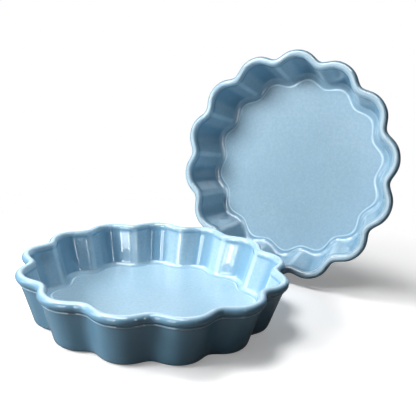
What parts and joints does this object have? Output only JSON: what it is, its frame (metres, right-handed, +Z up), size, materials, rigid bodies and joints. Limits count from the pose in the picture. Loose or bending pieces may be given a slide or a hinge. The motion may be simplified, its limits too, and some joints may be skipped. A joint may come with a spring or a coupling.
{
  "type": "flower-shaped cake pan",
  "caption": "Flower-shaped glazed stoneware cake pans with fluted, flared walls and rolled rims, shown as a set: flat on the table and standing on edge.",
  "frame": {"origin": "on the table, under the middle of the set's box", "axes": "+Z up, -Y towards the viewer, +X to the viewer's right"},
  "size_m": [0.3472, 0.3138, 0.2375],
  "materials": {
    "blue_glaze": "glossy pale blue glaze with a fine speckle"
  },
  "bodies": {
    "front": {"front_pan": "blue_glaze"},
    "rear": {"rear_pan": "blue_glaze"}
  },
  "joints": [
    {"name": "rear_lift", "type": "slide", "parent": "front", "child": "rear", "axis": [0, 0, 1], "range_m": [0, 0.25]}
  ]
}
